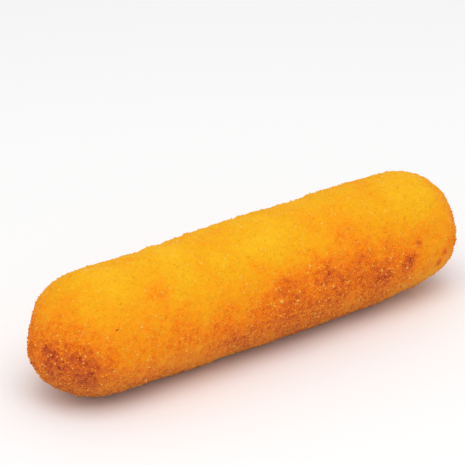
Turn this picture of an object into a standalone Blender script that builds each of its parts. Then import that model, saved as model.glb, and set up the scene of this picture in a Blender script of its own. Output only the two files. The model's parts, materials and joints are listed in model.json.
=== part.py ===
"""A corn dog: a sausage in a thick jacket of dough, rolled in fine breadcrumbs and fried, without a stick.

It is uncut, so it is one solid. It lies on its underside, which has set flat where it rests.
Metres, +Z up. +X runs along it from the slim end to the blunt end, and the origin is on the table under
its middle.
"""

import math

import bmesh
import bpy

# Driving dimensions
LENGTH = 0.150  # from tip to tip
THICKNESS = 0.039  # through the middle, before it settles on the table
OVAL = 0.012  # share by which it is wider than THICKNESS, and less tall
BARREL = 0.078  # share of the radius that the two ends have lost to the belly
LEAN = 0.010  # share by which the blunt half is stouter than the slim half

# Each end is rounded off over its length. Power 2 is a half ball, and more is blunter. Its tip droops.
SLIM_END = {"length": 0.0180, "power": 1.9, "droop": 0.0022}
BLUNT_END = {"length": 0.0195, "power": 2.5, "droop": 0.0}
SAG = 0.0008  # how far the middle hangs below the ends

LUMP_SIZE = 0.019  # the hand-rolled unevenness: how far apart its swells are
LUMP_HEIGHT = 0.0009  # and how far the highest stands above the deepest
REST_DEPTH = 0.0011  # how much of the underside has set flat

STATIONS = 54  # outlines along the length
SECTORS = 56  # facets round the girth
TABLE_SIZE = (0.20, 0.08, 0.02)


def clear_scene():
    for obj in list(bpy.data.objects):
        bpy.data.objects.remove(obj)


def make_collection(name):
    collection = bpy.data.collections.new(name)
    bpy.context.scene.collection.children.link(collection)
    return collection


def inwardness(x, end, side):
    """0 where the end's rounding begins and 1 at its tip. side is -1 at the slim end, 1 at the blunt one."""
    from_tip = LENGTH / 2 - side * x
    return min(1.0, max(0.0, 1 - from_tip / end["length"]))


def radius_at(x):
    """The outline: a barrel whose ends are rounded off as quarter superellipses."""
    along = 2 * x / LENGTH
    radius = THICKNESS / 2 * (1 + LEAN * along - BARREL * along**2)
    for end, side in ((SLIM_END, -1), (BLUNT_END, 1)):
        power = end["power"]
        radius *= (1 - inwardness(x, end, side) ** power) ** (1 / power)
    return radius


def axis_height(x):
    """How high the middle of the cross-section lies: it sags between the ends, and a tip may droop."""
    along = 2 * x / LENGTH
    height = -SAG * (1 - along**2)
    for end, side in ((SLIM_END, -1), (BLUNT_END, 1)):
        height -= end["droop"] * inwardness(x, end, side) ** 2
    return height


def turned_body(name):
    """The outline turned round the X axis, with its stations closer together towards the tips."""
    points = []
    for station in range(STATIONS + 1):
        x = -LENGTH / 2 * math.cos(math.pi * station / STATIONS)
        points.append((x, 0.0, radius_at(x)))
    points[0] = (-LENGTH / 2, 0.0, 0.0)
    points[-1] = (LENGTH / 2, 0.0, 0.0)
    edges = [(i, i + 1) for i in range(STATIONS)]

    outline = bpy.data.objects.new("outline", bpy.data.meshes.new("outline"))
    outline.data.from_pydata(points, edges, [])
    bpy.context.scene.collection.objects.link(outline)
    screw = outline.modifiers.new("turn", "SCREW")
    screw.axis = "X"
    screw.steps = screw.render_steps = SECTORS
    screw.use_merge_vertices = True
    screw.merge_threshold = 0.00001

    graph = bpy.context.evaluated_depsgraph_get()
    mesh = bpy.data.meshes.new_from_object(outline.evaluated_get(graph))
    mesh.name = name
    bpy.data.objects.remove(outline)
    return mesh


def settle(mesh):
    """Makes the girth oval and bends the straight axis, as the dough has set, and turns the faces outwards."""
    shape = bmesh.new()
    shape.from_mesh(mesh)
    for vert in shape.verts:
        vert.co.y *= 1 + OVAL
        vert.co.z = vert.co.z * (1 - OVAL) + axis_height(vert.co.x)
    bmesh.ops.recalc_face_normals(shape, faces=shape.faces)
    shape.to_mesh(mesh)
    shape.free()


def add_lumps(body):
    """Swells and hollows of an uneven hand-rolled jacket."""
    clouds = bpy.data.textures.new("lumps", "CLOUDS")
    clouds.noise_scale = LUMP_SIZE
    clouds.noise_depth = 0
    lumps = body.modifiers.new("lumps", "DISPLACE")
    lumps.texture = clouds
    lumps.texture_coords = "LOCAL"
    lumps.strength = LUMP_HEIGHT
    lumps.mid_level = 0.5


def evaluated_box(body):
    graph = bpy.context.evaluated_depsgraph_get()
    corners = [v.co for v in body.evaluated_get(graph).data.vertices]
    low = [min(c[i] for c in corners) for i in range(3)]
    high = [max(c[i] for c in corners) for i in range(3)]
    return low, high


def add_table(collection):
    """The cutter that the underside rests against. Its top is at z = 0."""
    bpy.ops.mesh.primitive_cube_add(size=1)
    table = bpy.context.object
    table.name = "table"
    for vert in table.data.vertices:
        vert.co = [vert.co[i] * TABLE_SIZE[i] for i in range(3)]
    table.location = (0, 0, -TABLE_SIZE[2] / 2)
    table.hide_render = True
    table.display_type = "WIRE"
    for holder in table.users_collection:
        holder.objects.unlink(table)
    collection.objects.link(table)
    return table


def rest_on(body, table):
    """Centres the body over the origin, sunk by REST_DEPTH, and cuts it level with the table's top."""
    low, high = evaluated_box(body)
    body.location = (-(low[0] + high[0]) / 2, -(low[1] + high[1]) / 2, -low[2] - REST_DEPTH)
    flat = body.modifiers.new("resting_flat", "BOOLEAN")
    flat.operation = "DIFFERENCE"
    flat.solver = "EXACT"
    flat.object = table


def crust_material():
    """Deep-fried crumb: matt, golden orange."""
    material = bpy.data.materials.new("fried_crumb")
    material.use_nodes = True
    shader = material.node_tree.nodes["Principled BSDF"]
    shader.inputs["Base Color"].default_value = (0.87, 0.35, 0.03, 1)
    shader.inputs["Roughness"].default_value = 0.65
    shader.inputs["Metallic"].default_value = 0.0
    return material


def main():
    clear_scene()
    food = make_collection("corn_dog")
    cutters = make_collection("cutters")

    mesh = turned_body("corn_dog")
    settle(mesh)
    mesh.shade_smooth()
    mesh.materials.append(crust_material())
    body = bpy.data.objects.new("corn_dog", mesh)
    food.objects.link(body)

    add_lumps(body)
    rest_on(body, add_table(cutters))


main()
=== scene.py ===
import json
import math

import bpy
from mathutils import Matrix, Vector

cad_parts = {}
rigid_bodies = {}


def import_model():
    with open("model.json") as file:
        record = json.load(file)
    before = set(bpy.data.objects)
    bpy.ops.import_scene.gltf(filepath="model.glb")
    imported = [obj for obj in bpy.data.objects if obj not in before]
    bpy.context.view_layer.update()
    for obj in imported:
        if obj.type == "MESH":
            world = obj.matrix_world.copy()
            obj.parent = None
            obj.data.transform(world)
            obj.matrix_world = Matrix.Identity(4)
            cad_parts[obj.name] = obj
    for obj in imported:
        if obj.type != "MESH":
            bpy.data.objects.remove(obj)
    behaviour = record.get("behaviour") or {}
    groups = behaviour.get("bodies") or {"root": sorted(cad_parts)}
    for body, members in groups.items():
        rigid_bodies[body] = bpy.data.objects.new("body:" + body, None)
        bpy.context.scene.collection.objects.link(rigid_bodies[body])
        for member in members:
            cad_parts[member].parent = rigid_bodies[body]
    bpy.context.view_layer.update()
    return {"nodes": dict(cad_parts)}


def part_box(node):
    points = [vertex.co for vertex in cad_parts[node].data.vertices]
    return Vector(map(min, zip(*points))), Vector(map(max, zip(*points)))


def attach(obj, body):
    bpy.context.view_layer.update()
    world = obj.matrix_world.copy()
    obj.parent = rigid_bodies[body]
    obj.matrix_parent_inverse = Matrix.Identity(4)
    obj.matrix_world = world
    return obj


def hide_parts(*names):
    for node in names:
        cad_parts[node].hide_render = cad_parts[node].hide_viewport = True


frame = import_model()

# Looks of a corn dog that was rolled in fine breadcrumb and deep-fried. A crust with the coat's relief stands
# for the solid, and the crumb that sticks to it is one piece for each kind.

mm = 0.001
low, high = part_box("corn_dog")
centre = (low + high) / 2
halfLength = (high.x - low.x) / 2
spine = halfLength - (high.y - low.y) / 2  # half the length between the middles of its two round ends
bpy.context.scene.view_settings.view_transform = "Standard"


def linearColour(hexColour):
    channels = [int(hexColour[i:i + 2], 16) / 255 for i in (1, 3, 5)]
    return [c / 12.92 if c <= 0.04045 else ((c + 0.055) / 1.055) ** 2.4 for c in channels] + [1.0]


# inputs: by socket name or number, a value, or a node or socket to link from. settings: the node's own values
def addNode(tree, kind, inputs=None, **settings):
    node = tree.nodes.new(kind)
    for name, value in settings.items():
        setattr(node, name, value)
    for name, value in (inputs or {}).items():
        if isinstance(value, bpy.types.Node):
            value = value.outputs[0]
        if isinstance(value, bpy.types.NodeSocket):
            tree.links.new(value, node.inputs[name])
        else:
            node.inputs[name].default_value = value
    return node


def chooseOnly(piece):
    bpy.ops.object.select_all(action="DESELECT")
    piece.select_set(True)
    bpy.context.view_layer.objects.active = piece


def copyOf(piece, name):
    chooseOnly(piece)
    bpy.ops.object.duplicate()
    copy = bpy.context.object
    copy.name = copy.data.name = name
    copy.data.materials.clear()
    return copy


# into edit mode with only the vertices chosen whose place passes the test
def chooseVertices(piece, test):
    bpy.ops.object.mode_set(mode="EDIT")
    bpy.ops.mesh.select_all(action="DESELECT")
    bpy.ops.object.mode_set(mode="OBJECT")
    for vertex in piece.data.vertices:
        vertex.select = test(vertex.co)
    bpy.ops.object.mode_set(mode="EDIT")


def applyModifiers(piece):
    chooseOnly(piece)
    for modifier in list(piece.modifiers):
        bpy.ops.object.modifier_apply(modifier=modifier.name)


# an empty Geometry Nodes tree for a piece, its input and the socket that takes the result
def addGeometryTree(piece, name):
    tree = bpy.data.node_groups.new(name, "GeometryNodeTree")
    tree.interface.new_socket("Geometry", in_out="INPUT", socket_type="NodeSocketGeometry")
    tree.interface.new_socket("Geometry", in_out="OUTPUT", socket_type="NodeSocketGeometry")
    piece.modifiers.new(name, "NODES").node_group = tree
    return tree, addNode(tree, "NodeGroupInput"), addNode(tree, "NodeGroupOutput").inputs[0]


# the place on a piece's surface, and its normal there
def onSurface(piece, along, degrees):
    turn = math.radians(degrees)
    fromAxis = Vector((0.0, -math.sin(turn), math.cos(turn)))
    return piece.ray_cast(Vector((along, centre.y, centre.z)), fromAxis)[1:3]


crust = {
    "voxel": 0.50 * mm,
    "smoothing": 6,
    # relief: how far apart its bumps are, and how far the highest stands above the deepest hollow
    # where hands have pressed it: along, degrees round the girth from the top towards -Y, reach, how far out
    "kneaded": (
        (-51 * mm, 148, 20 * mm, 0.55 * mm),
        (-67 * mm, 148, 10 * mm, -0.05 * mm),
        (-14 * mm, 148, 12 * mm, -0.50 * mm),
        (28 * mm, 148, 12 * mm, -0.25 * mm),
        (65 * mm, 148, 10 * mm, -0.50 * mm),
        (-56 * mm, -32, 10 * mm, -0.45 * mm),
        (-35 * mm, -32, 16 * mm, -0.60 * mm),
        (-13 * mm, -32, 10 * mm, 0.25 * mm),
        (10 * mm, -32, 11 * mm, 0.42 * mm),
        (27 * mm, -32, 12 * mm, -0.40 * mm),
        (-74.4 * mm, 40, 10 * mm, -0.70 * mm),
        (-70.5 * mm, -75, 10 * mm, -0.80 * mm),
    ),
    "relief": {"swells": (8.0 * mm, 0.60 * mm), "pebbles": (2.4 * mm, 0.80 * mm), "grit": (1.1 * mm, 0.50 * mm)},
    "inset": 0.25 * mm,  # the crumb's share of the coat's thickness
    "underside": 0.12 * mm,  # how high it lies over the table, on the crumb that holds it up
}


def makeCrust():
    piece = copyOf(frame["nodes"]["corn_dog"], "crust")
    bpy.ops.object.parent_clear(type="CLEAR_KEEP_TRANSFORM")
    bpy.ops.object.mode_set(mode="EDIT")
    bpy.ops.mesh.select_all(action="SELECT")
    bpy.ops.mesh.remove_doubles(threshold=0.01 * mm)
    bpy.ops.object.mode_set(mode="OBJECT")

    for along, degrees, reach, height in crust["kneaded"]:
        spot, normal = onSurface(piece, along, degrees)
        nearest = min((vertex.co - spot).length for vertex in piece.data.vertices)
        chooseVertices(piece, lambda place: (place - spot).length <= nearest)
        bpy.ops.transform.translate(
            value=normal * height, use_proportional_edit=True, proportional_edit_falloff="SMOOTH",
            proportional_size=reach,
        )
        bpy.ops.object.mode_set(mode="OBJECT")

    fine = piece.modifiers.new("fine", "REMESH")
    fine.mode = "VOXEL"
    fine.voxel_size = crust["voxel"]
    smooth = piece.modifiers.new("smooth", "SMOOTH")
    smooth.iterations = crust["smoothing"]
    for name, (size, height) in crust["relief"].items():
        texture = bpy.data.textures.new(name, "CLOUDS")
        texture.noise_scale = size
        texture.noise_depth = 1
        relief = piece.modifiers.new(name, "DISPLACE")
        relief.texture = texture
        relief.texture_coords = "LOCAL"
        relief.strength = height
    room = piece.modifiers.new("roomForCrumb", "DISPLACE")
    room.strength = -crust["inset"]
    room.mid_level = 0.0
    applyModifiers(piece)

    # the underside is pressed flat again
    chooseVertices(piece, lambda place: place.z < crust["underside"])
    bpy.ops.transform.resize(value=(1, 1, 0), center_override=(0, 0, crust["underside"]))
    bpy.ops.object.mode_set(mode="OBJECT")
    bpy.ops.object.shade_smooth()
    print("crust", len(piece.data.polygons), "faces")
    return piece


# How far the oil has browned each place, from 0, pale, to 1, burnt. The crust keeps it as an attribute, and
# each crumb takes it from the place where it sticks.
browning = {
    "least": 0.33,
    "flank": {"from": 0.95, "to": 0.36, "more": 0.26},  # shares of the height. The lower half is browner towards the bottom
    "tips": {"from": 0.84, "more": 0.06},  # share of the half length
    "mottle": ((24 * mm, 0.08), (8 * mm, 0.06)),  # size and how far it varies
    "clumps": ((4.5 * mm, 0.04), (2.2 * mm, 0.09), (1.2 * mm, 0.10)),  # size, and how far they vary as a share of the browning
    "ragged": 4 * mm,  # how far apart the notches in the edges of the patches are
    # patches: along, degrees round the girth from the top towards -Y, reach, how much browner
    "patches": (
        # broad ones, browner and paler stretches. The palest, low near the blunt end, is partly painted light
        (28 * mm, 30, 18 * mm, 0.08),
        (26 * mm, 66, 18 * mm, 0.11),
        (4 * mm, 84, 20 * mm, 0.16),
        (7 * mm, 98, 12 * mm, -0.13),
        (36 * mm, 92, 16 * mm, 0.03),
        (28 * mm, 118, 14 * mm, -0.10),
        (44 * mm, -4, 14 * mm, 0.05),
        (-70 * mm, 94, 16 * mm, 0.11),
        (-52 * mm, 15, 15 * mm, -0.06),
        (-24 * mm, 30, 22 * mm, -0.07),
        (-32 * mm, -4, 16 * mm, -0.06),
        (-32 * mm, 106, 14 * mm, -0.07),
        (1 * mm, 28, 15 * mm, -0.06),
        (52 * mm, 34, 15 * mm, -0.05),
        (-50 * mm, 107, 16 * mm, -0.08),
        # partly pale crust, partly painted light reflected up from the table
        (60 * mm, 114, 18 * mm, -0.24),
        (71 * mm, 55, 12 * mm, 0.05),
        (74 * mm, 96, 9 * mm, -0.12),
        (46 * mm, 128, 13 * mm, -0.08),
        (-30 * mm, -96, 20 * mm, 0.12),
        (34 * mm, -88, 24 * mm, 0.10),
        (2 * mm, -60, 14 * mm, -0.06),
        # scorched ones
        (-74.6 * mm, 48, 2.6 * mm, 0.14),
        (-74.2 * mm, 66, 3.0 * mm, 0.20),
        (-73.4 * mm, 82, 3.2 * mm, 0.22),
        (-72.5 * mm, 93, 3.2 * mm, 0.20),
        (-72.2 * mm, 106, 3.6 * mm, 0.09),
        (-73.2 * mm, 120, 3.6 * mm, 0.14),
        (-69.1 * mm, 84, 2.6 * mm, 0.13),
        (-67.6 * mm, 90, 3.6 * mm, 0.07),
        (-65.8 * mm, 96, 3.4 * mm, 0.07),
        (-66.8 * mm, 110, 3.6 * mm, 0.12),
        (-64.8 * mm, 118, 4.2 * mm, 0.11),
        (-74.4 * mm, -20, 5.0 * mm, 0.15),
        (-74.9 * mm, -145, 5.0 * mm, 0.13),
        (-66.0 * mm, 10, 5.5 * mm, 0.06),
        (-42.0 * mm, 46, 6.0 * mm, 0.07),
        (-7.5 * mm, 47, 5.0 * mm, 0.14),
        (15.6 * mm, 78, 5.0 * mm, 0.12),
        (36.6 * mm, 98, 7.0 * mm, 0.13),
        (47.8 * mm, 84, 3.0 * mm, 0.16),
        (48.4 * mm, 91, 4.2 * mm, 0.17),
        (46.8 * mm, 98, 4.4 * mm, 0.16),
        (51.5 * mm, 77, 2.4 * mm, 0.20),
        (62.7 * mm, 95, 2.2 * mm, 0.26),
        (60.8 * mm, 106, 2.2 * mm, 0.30),
        (20.0 * mm, -95, 6.0 * mm, 0.16),
        (-38.0 * mm, -108, 6.0 * mm, 0.18),
        (-12.0 * mm, -84, 3.6 * mm, 0.16),
        (58.0 * mm, -80, 5.0 * mm, 0.18),
        (-69.0 * mm, -74, 5.0 * mm, 0.18),
    ),
    "most": 0.78,  # what all of these come to at most
    "burnt": (-57.5 * mm, 64, 0.30 * mm),  # one black crumb: along, degrees, reach
}


def makeBrowning(piece):
    patches = browning["patches"]
    middles = [onSurface(piece, along, degrees)[0] for along, degrees, reach, more in patches]
    blackCrumb = onSurface(piece, *browning["burnt"][:2])[0]
    tree, start, end = addGeometryTree(piece, "browning")
    place = addNode(tree, "GeometryNodeInputPosition")
    axes = addNode(tree, "ShaderNodeSeparateXYZ", {0: place})
    notches = addNode(
        tree, "ShaderNodeTexNoise",
        {"Vector": place, "Scale": 1 / browning["ragged"], "Detail": 5.0, "Roughness": 0.65},
    )

    # the lower flank, from a ragged line round the body downwards
    flank = browning["flank"]
    share = addNode(tree, "ShaderNodeMath", {0: axes.outputs[2], 1: high.z}, operation="DIVIDE")
    ragged = addNode(tree, "ShaderNodeMath", {0: notches, 1: 0.35, 2: share}, operation="MULTIPLY_ADD")
    parts = [
        addNode(
            tree, "ShaderNodeMapRange",
            {
                "Value": ragged, "From Min": flank["from"] + 0.175, "From Max": flank["to"] + 0.175,
                "To Min": 0.0, "To Max": flank["more"],
            },
            interpolation_type="SMOOTHSTEP",
        )
    ]

    tips = browning["tips"]
    outwards = addNode(tree, "ShaderNodeMath", {0: axes.outputs[0]}, operation="ABSOLUTE")
    parts.append(addNode(
        tree, "ShaderNodeMapRange",
        {
            "Value": outwards, "From Min": tips["from"] * halfLength, "From Max": halfLength,
            "To Min": 0.0, "To Max": tips["more"],
        },
    ))
    for size, depth in browning["mottle"]:
        noise = addNode(tree, "ShaderNodeTexNoise", {"Vector": place, "Scale": 1 / size})
        parts.append(addNode(
            tree, "ShaderNodeMapRange",
            {"Value": noise, "From Min": 0.25, "From Max": 0.75, "To Min": -depth, "To Max": depth},
        ))
    for middle, (along, degrees, reach, more) in zip(middles, patches):
        distance = addNode(tree, "ShaderNodeVectorMath", {0: place, 1: middle}, operation="DISTANCE")
        uneven = addNode(
            tree, "ShaderNodeMath",
            {0: addNode(tree, "ShaderNodeMath", {0: notches, 1: 0.5}, operation="ADD"), 1: distance.outputs[1]},
            operation="MULTIPLY",
        )
        parts.append(addNode(
            tree, "ShaderNodeMapRange",
            {"Value": uneven, "From Min": reach, "From Max": 0.0, "To Min": 0.0, "To Max": more},
            interpolation_type="SMOOTHSTEP",
        ))

    total = browning["least"]
    for part in parts:
        total = addNode(tree, "ShaderNodeMath", {0: part, 1: total}, operation="ADD")
    total = addNode(tree, "ShaderNodeMath", {0: total, 1: browning["most"], 2: 0.15}, operation="SMOOTH_MIN")
    for size, depth in browning["clumps"]:
        noise = addNode(tree, "ShaderNodeTexNoise", {"Vector": place, "Scale": 1 / size})
        clumps = addNode(
            tree, "ShaderNodeMapRange",
            {"Value": noise, "From Min": 0.25, "From Max": 0.75, "To Min": 1 - depth, "To Max": 1 + depth},
        )
        total = addNode(tree, "ShaderNodeMath", {0: total, 1: clumps}, operation="MULTIPLY")
    distance = addNode(tree, "ShaderNodeVectorMath", {0: place, 1: blackCrumb}, operation="DISTANCE")
    burnt = addNode(
        tree, "ShaderNodeMath", {0: distance.outputs[1], 1: browning["burnt"][2]}, operation="LESS_THAN"
    )
    total = addNode(tree, "ShaderNodeMath", {0: total, 1: burnt}, operation="MAXIMUM")
    stored = addNode(
        tree, "GeometryNodeStoreNamedAttribute", {"Geometry": start, "Name": "browning", "Value": total},
        data_type="FLOAT", domain="POINT",
    )
    tree.links.new(stored.outputs[0], end)
    applyModifiers(piece)
    print("browning, with", len(patches), "patches")


# The loose crumb. All kinds draw from one even scatter of places over the crust.
coat = {
    "spacing": 0.78 * mm,  # least distance between two crumbs
    "candidates": 2.0e7,  # places tried per square metre
    # how deep a crumb's middle lies under the crust's face, as a share of the crumb's width, where it is pale and
    # where it is brown
    "sunk": {"from": 0.42, "to": 0.61, "pale": 0.25, "brown": 0.05},
    "flattened": (0.7, 1.2),
    "lengthened": (0.8, 1.25),
    "shapes": 14,
    "ragged": 0.14,
    "cellShare": 0.6,  # how much of its cell in the map a crumb takes up
    # browning at which the first crumbs are toasted and at which most are, and the shares that are
    "toasting": {"from": 0.44, "to": 0.95, "least": 0.012, "most": 0.50},
}
# draw: the kind's share of the draw. follows: how much of the place's browning its crumbs show, from the least
# to the most
crumbKinds = {
    "crumbGolden": {"draw": (0.00, 0.45), "width": (0.85, 1.30), "follows": (0.72, 1.02), "cream": 0.02},
    "crumbAmber": {"draw": (0.45, 0.93), "width": (0.85, 1.30), "follows": (0.90, 1.20), "cream": 0.0},
    "crumbPale": {"draw": (0.93, 1.00), "width": (0.95, 1.50), "follows": (0.52, 0.88), "cream": 0.07},
    "crumbToasted": {"draw": None, "width": (0.80, 1.20), "follows": (1.05, 1.22), "cream": 0.0},
}


def makeShapes():
    shelf = bpy.data.collections.new("crumbShapes")
    bpy.context.scene.collection.children.link(shelf)
    for number in range(coat["shapes"]):
        bpy.ops.object.select_all(action="DESELECT")
        bpy.ops.mesh.primitive_cone_add(
            vertices=5, radius1=0.5, depth=0.5, end_fill_type="TRIFAN", location=(0, 0, 0.25)
        )
        shape = bpy.context.object
        shape.name = f"crumbShape{number}"
        chooseVertices(shape, lambda place: place.xy.length < 0.1 and place.z < 0)
        bpy.ops.transform.translate(value=(0, 0, -0.4))
        bpy.ops.mesh.select_all(action="SELECT")
        bpy.ops.transform.vertex_random(offset=coat["ragged"], uniform=1.0, seed=number)
        bpy.ops.object.mode_set(mode="OBJECT")
        bpy.ops.object.transform_apply(location=True, rotation=True, scale=True)
        bpy.ops.object.shade_smooth()
        for holder in list(shape.users_collection):
            holder.objects.unlink(shape)
        shelf.objects.link(shape)
    return shelf


def makeCrumb(name, kind, carrier, shelf):
    piece = copyOf(carrier, name)
    tree, start, end = addGeometryTree(piece, name)
    scatter = addNode(
        tree, "GeometryNodeDistributePointsOnFaces",
        {"Mesh": start, "Distance Min": coat["spacing"], "Density Max": coat["candidates"], "Seed": 5},
        distribute_method="POISSON",
    )

    # which of the places are this kind's
    toasting = coat["toasting"]
    browned = addNode(tree, "GeometryNodeInputNamedAttribute", {"Name": "browning"}, data_type="FLOAT")
    chance = addNode(
        tree, "ShaderNodeMapRange",
        {
            "Value": browned, "From Min": toasting["from"], "From Max": toasting["to"],
            "To Min": toasting["least"], "To Max": toasting["most"],
        },
    )
    luck = addNode(tree, "FunctionNodeRandomValue", {"Seed": 11}, data_type="FLOAT").outputs[1]
    if kind["draw"] is None:
        others = addNode(tree, "FunctionNodeCompare", {0: luck, 1: chance}, operation="GREATER_EQUAL")
    else:
        first, last = kind["draw"]
        others = addNode(tree, "FunctionNodeCompare", {0: luck, 1: chance}, operation="LESS_THAN")
        drawn = addNode(tree, "FunctionNodeRandomValue", {"Seed": 12}, data_type="FLOAT").outputs[1]
        before = addNode(tree, "FunctionNodeCompare", {0: drawn, 1: first}, operation="LESS_THAN")
        after = addNode(tree, "FunctionNodeCompare", {0: drawn, 1: last}, operation="GREATER_EQUAL")
        outside = addNode(tree, "FunctionNodeBooleanMath", {0: before, 1: after}, operation="OR")
        others = addNode(tree, "FunctionNodeBooleanMath", {0: others, 1: outside}, operation="OR")
    kept = addNode(
        tree, "GeometryNodeDeleteGeometry", {"Geometry": scatter, "Selection": others}, domain="POINT"
    )

    # most crumbs are small: the draw is cubed
    luck = addNode(tree, "FunctionNodeRandomValue", {"Seed": 23}, data_type="FLOAT").outputs[1]
    cubed = addNode(tree, "ShaderNodeMath", {0: luck, 1: 3.0}, operation="POWER")
    smallest, widest = kind["width"]
    width = addNode(
        tree, "ShaderNodeMapRange", {"Value": cubed, "To Min": smallest * mm, "To Max": widest * mm}
    )
    sunk = coat["sunk"]
    share = addNode(
        tree, "ShaderNodeMapRange",
        {
            "Value": browned, "From Min": sunk["from"], "From Max": sunk["to"],
            "To Min": -sunk["pale"], "To Max": -sunk["brown"],
        },
    )
    depth = addNode(tree, "ShaderNodeMath", {0: width, 1: share}, operation="MULTIPLY")
    inwards = addNode(
        tree, "ShaderNodeVectorMath", {0: scatter.outputs["Normal"], "Scale": depth}, operation="SCALE"
    )
    bedded = addNode(tree, "GeometryNodeSetPosition", {"Geometry": kept, "Offset": inwards})

    (thin, thick), (short, long) = coat["flattened"], coat["lengthened"]
    stretch = addNode(
        tree, "FunctionNodeRandomValue", {0: (short, short, thin), 1: (long, long, thick), "Seed": 24},
        data_type="FLOAT_VECTOR",
    )
    size = addNode(tree, "ShaderNodeVectorMath", {0: stretch, "Scale": width}, operation="SCALE")
    turn = addNode(
        tree, "FunctionNodeRandomValue", {0: (-0.4, -0.4, 0.0), 1: (0.4, 0.4, 2 * math.pi), "Seed": 22},
        data_type="FLOAT_VECTOR",
    )
    turned = addNode(
        tree, "FunctionNodeRotateRotation",
        {0: scatter.outputs["Rotation"], 1: addNode(tree, "FunctionNodeEulerToRotation", {0: turn})},
        rotation_space="LOCAL",
    )
    which = addNode(
        tree, "FunctionNodeRandomValue", {4: 0, 5: coat["shapes"] - 1, "Seed": 21}, data_type="INT"
    ).outputs[2]
    shapes = addNode(
        tree, "GeometryNodeCollectionInfo", {"Collection": shelf, "Separate Children": True, "Reset Children": True}
    )
    placed = addNode(
        tree, "GeometryNodeInstanceOnPoints",
        {
            "Points": bedded, "Instance": shapes, "Pick Instance": True, "Instance Index": which,
            "Rotation": turned, "Scale": size,
        },
    )
    luck = addNode(tree, "FunctionNodeRandomValue", {"Seed": 25}, data_type="FLOAT").outputs[1]
    toned = addNode(
        tree, "GeometryNodeStoreNamedAttribute", {"Geometry": placed, "Name": "tone", "Value": luck},
        data_type="FLOAT", domain="INSTANCE",
    )
    numbered = addNode(
        tree, "GeometryNodeStoreNamedAttribute",
        {"Geometry": toned, "Name": "cell", "Value": addNode(tree, "GeometryNodeInputIndex")},
        data_type="FLOAT", domain="INSTANCE",
    )
    joined = addNode(tree, "GeometryNodeRealizeInstances", {0: numbered})

    # a map with a cell of its own for every crumb, for a bake of its colours
    count = addNode(tree, "GeometryNodeAttributeDomainSize", {0: placed}, component="INSTANCES").outputs[5]
    root = addNode(tree, "ShaderNodeMath", {0: count}, operation="SQRT")
    columns = addNode(tree, "ShaderNodeMath", {0: root}, operation="CEIL")
    cell = addNode(tree, "GeometryNodeInputNamedAttribute", {"Name": "cell"}, data_type="FLOAT")
    column = addNode(tree, "ShaderNodeMath", {0: cell, 1: columns}, operation="MODULO")
    ratio = addNode(tree, "ShaderNodeMath", {0: cell, 1: columns}, operation="DIVIDE")
    row = addNode(tree, "ShaderNodeMath", {0: ratio}, operation="FLOOR")
    corner = addNode(tree, "ShaderNodeCombineXYZ", {0: column, 1: row})
    own = addNode(tree, "GeometryNodeInputNamedAttribute", {"Name": "UVMap"}, data_type="FLOAT_VECTOR")
    margin = (1 - coat["cellShare"]) / 2
    inside = addNode(
        tree, "ShaderNodeVectorMath", {0: own, 1: (coat["cellShare"],) * 3, 2: (margin,) * 3},
        operation="MULTIPLY_ADD",
    )
    spot = addNode(tree, "ShaderNodeVectorMath", {0: corner, 1: inside}, operation="ADD")
    shrink = addNode(tree, "ShaderNodeMath", {0: 1.0, 1: columns}, operation="DIVIDE")
    mapped = addNode(
        tree, "GeometryNodeStoreNamedAttribute",
        {
            "Geometry": joined, "Name": "OFBake",
            "Value": addNode(tree, "ShaderNodeVectorMath", {0: spot, "Scale": shrink}, operation="SCALE"),
        },
        data_type="FLOAT2", domain="CORNER",
    )
    for spare in ("cell", "UVMap"):
        mapped = addNode(tree, "GeometryNodeRemoveAttribute", {"Geometry": mapped, "Name": spare})

    # none reaches below the table
    place = addNode(tree, "GeometryNodeInputPosition")
    lifted = addNode(tree, "ShaderNodeVectorMath", {0: place, 1: (-1.0, -1.0, 0.0)}, operation="MAXIMUM")
    resting = addNode(tree, "GeometryNodeSetPosition", {"Geometry": mapped, "Position": lifted})
    tree.links.new(resting.outputs[0], end)
    applyModifiers(piece)
    piece.data.materials.clear()
    print(name, len(piece.data.polygons), "faces")
    return piece


fried = {
    # the crumb from pale to burnt
    "colours": (
        (0.05, "#FFC838"), (0.20, "#F8BC1C"), (0.32, "#F4AE12"), (0.45, "#F89C12"), (0.58, "#F88715"),
        (0.70, "#E77824"), (0.82, "#CF5C2A"), (0.94, "#AA4227"), (1.00, "#4A1D10"),
    ),
    "cream": "#FFF0C8",  # the pale cream that some crumbs are mixed towards
    # painted shade on the belly, the underside turned away from the light, mixed towards a dull brown: degrees from
    # the top between which it sets in
    "belly": {"from": 95, "to": 160, "colour": "#B4824E", "most": 0.48},
    "roughness": 0.62,
    "ior": 1.45,
    "shine": 0.09,
    "grit": 0.45 * mm,
}
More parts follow.
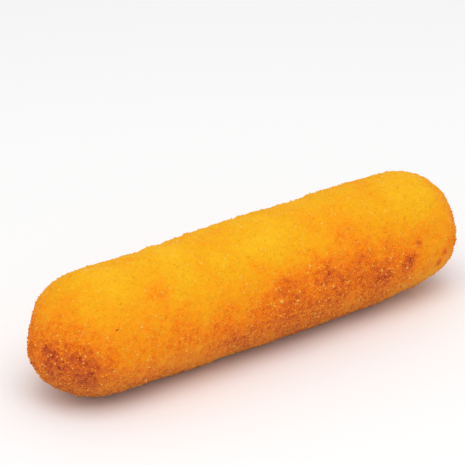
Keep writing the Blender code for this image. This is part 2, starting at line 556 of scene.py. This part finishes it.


# Fine dried breadcrumb, deep-fried. It is matt with a trace of oil, golden where it is thin and brown where the
# oil has toasted it, and no two crumbs are quite alike. Its underside is dulled with painted shade.
def makeFriedCrumb(name, follows, cream, loose):
    material = bpy.data.materials.new(name)
    material.use_nodes = True
    tree = material.node_tree
    tree.nodes.clear()
    browned = addNode(tree, "ShaderNodeAttribute", attribute_name="browning").outputs["Fac"]
    place = addNode(tree, "ShaderNodeTexCoord").outputs["Object"]
    grit = addNode(tree, "ShaderNodeTexNoise", {"Vector": place, "Scale": 1 / fried["grit"]})
    tone = addNode(tree, "ShaderNodeAttribute", attribute_name="tone").outputs["Fac"] if loose else grit
    least, most = follows
    share = addNode(tree, "ShaderNodeMapRange", {"Value": tone, "To Min": least, "To Max": most})
    level = addNode(tree, "ShaderNodeMath", {0: browned, 1: share}, operation="MULTIPLY")
    ramp = addNode(tree, "ShaderNodeValToRGB", {0: level})
    stops = ramp.color_ramp.elements
    for number, (position, colour) in enumerate(fried["colours"]):
        stop = stops[number] if number < len(stops) else stops.new(position)
        stop.position = position
        stop.color = linearColour(colour)
    colour = ramp.outputs[0]
    if cream > 0:
        pale = addNode(tree, "ShaderNodeMapRange", {"Value": tone, "To Min": 2 * cream, "To Max": 0.0})
        colour = addNode(
            tree, "ShaderNodeMix", {0: pale, 6: colour, 7: linearColour(fried["cream"])}, data_type="RGBA"
        ).outputs[2]
    # painted shade: the underside, turned away from the light, is mixed towards a dull brown
    belly = fried["belly"]
    slimmer = addNode(
        tree, "ShaderNodeVectorMath", {0: place, 1: (-spine, 0, centre.z)}, operation="MAXIMUM"
    )
    onSpine = addNode(tree, "ShaderNodeVectorMath", {0: slimmer, 1: (spine, 0, centre.z)}, operation="MINIMUM")
    fromSpine = addNode(tree, "ShaderNodeVectorMath", {0: place, 1: onSpine}, operation="SUBTRACT")
    outwards = addNode(tree, "ShaderNodeVectorMath", {0: fromSpine}, operation="NORMALIZE")
    upwards = addNode(tree, "ShaderNodeSeparateXYZ", {0: outwards}).outputs[2]
    first, last = math.cos(math.radians(belly["from"])), math.cos(math.radians(belly["to"]))
    paintedShade = addNode(
        tree, "ShaderNodeMapRange",
        {"Value": upwards, "From Min": first, "From Max": last, "To Max": belly["most"]},
    )
    colour = addNode(
        tree, "ShaderNodeMix", {0: paintedShade, 6: colour, 7: linearColour(belly["colour"])}, data_type="RGBA"
    ).outputs[2]
    shader = addNode(
        tree, "ShaderNodeBsdfPrincipled",
        {
            "Base Color": colour, "Roughness": fried["roughness"], "IOR": fried["ior"],
            "Specular IOR Level": fried["shine"],
        },
    )
    if not loose:
        bump = addNode(tree, "ShaderNodeBump", {"Strength": 0.5, "Distance": 0.12 * mm, "Height": grit})
        tree.links.new(bump.outputs[0], shader.inputs["Normal"])
    addNode(tree, "ShaderNodeOutputMaterial", {"Surface": shader})
    return material


crustPiece = makeCrust()
makeBrowning(crustPiece)
shelf = makeShapes()
pieces = [crustPiece]
for name, kind in crumbKinds.items():
    crumb = makeCrumb(name, kind, crustPiece, shelf)
    look = "fried" + name[0].upper() + name[1:]
    crumb.data.materials.append(makeFriedCrumb(look, kind["follows"], kind["cream"], loose=True))
    pieces.append(crumb)
crustPiece.data.materials.append(makeFriedCrumb("friedCrumbCrust", (0.85, 1.30), 0.0, loose=False))
for shape in list(shelf.objects):
    bpy.data.objects.remove(shape)
bpy.data.collections.remove(shelf)

for piece in pieces:
    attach(piece, "root")
    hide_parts("corn_dog")


studio = {
    "floor": "#FBFBFB",
    "world": 0.74,
    "key": {"offset": (-0.12, -0.22, 0.80), "size": 0.7, "watts": 2.8},
}

bpy.ops.mesh.primitive_plane_add(size=6, location=(0, 0, 0))
floor = bpy.context.object
floor.name = "floor"
paper = bpy.data.materials.new("mattPaper")
paper.use_nodes = True
paperShader = paper.node_tree.nodes["Principled BSDF"]
paperShader.inputs["Base Color"].default_value = linearColour(studio["floor"])
paperShader.inputs["Roughness"].default_value = 0.9
paperShader.inputs["Specular IOR Level"].default_value = 0.0
floor.data.materials.append(paper)

world = bpy.data.worlds.new("studio")
bpy.context.scene.world = world
world.use_nodes = True
world.node_tree.nodes["Background"].inputs["Color"].default_value = linearColour("#FFFFFF")
world.node_tree.nodes["Background"].inputs["Strength"].default_value = studio["world"]

key = studio["key"]
bpy.ops.object.light_add(type="AREA", location=centre + Vector(key["offset"]))
lamp = bpy.context.object
lamp.name = "softbox"
lamp.data.size = key["size"]
lamp.data.energy = key["watts"]
lamp.rotation_mode = "QUATERNION"
lamp.rotation_quaternion = Vector(key["offset"]).to_track_quat("Z", "Y")
print("studio")

camera = {"azimuth": -36.6, "elevation": 27.0, "distance": 0.718, "lens": 185.2, "left": 4.4 * mm, "above": 14.1 * mm}

turn, rise = math.radians(camera["azimuth"]), math.radians(camera["elevation"])
back = Vector((math.sin(turn) * math.cos(rise), -math.cos(turn) * math.cos(rise), math.sin(rise)))
right = Vector((math.cos(turn), math.sin(turn), 0.0))
up = back.cross(right)
eye = centre + back * camera["distance"]
aim = centre - right * camera["left"] + up * camera["above"]
bpy.ops.object.camera_add(location=eye)
view = bpy.context.object
view.name = "camera"
view.data.lens = camera["lens"]
view.data.sensor_width = 36
view.data.clip_start = 0.01
view.rotation_mode = "QUATERNION"
view.rotation_quaternion = (aim - eye).to_track_quat("-Z", "Y")
bpy.context.scene.camera = view
print("camera")
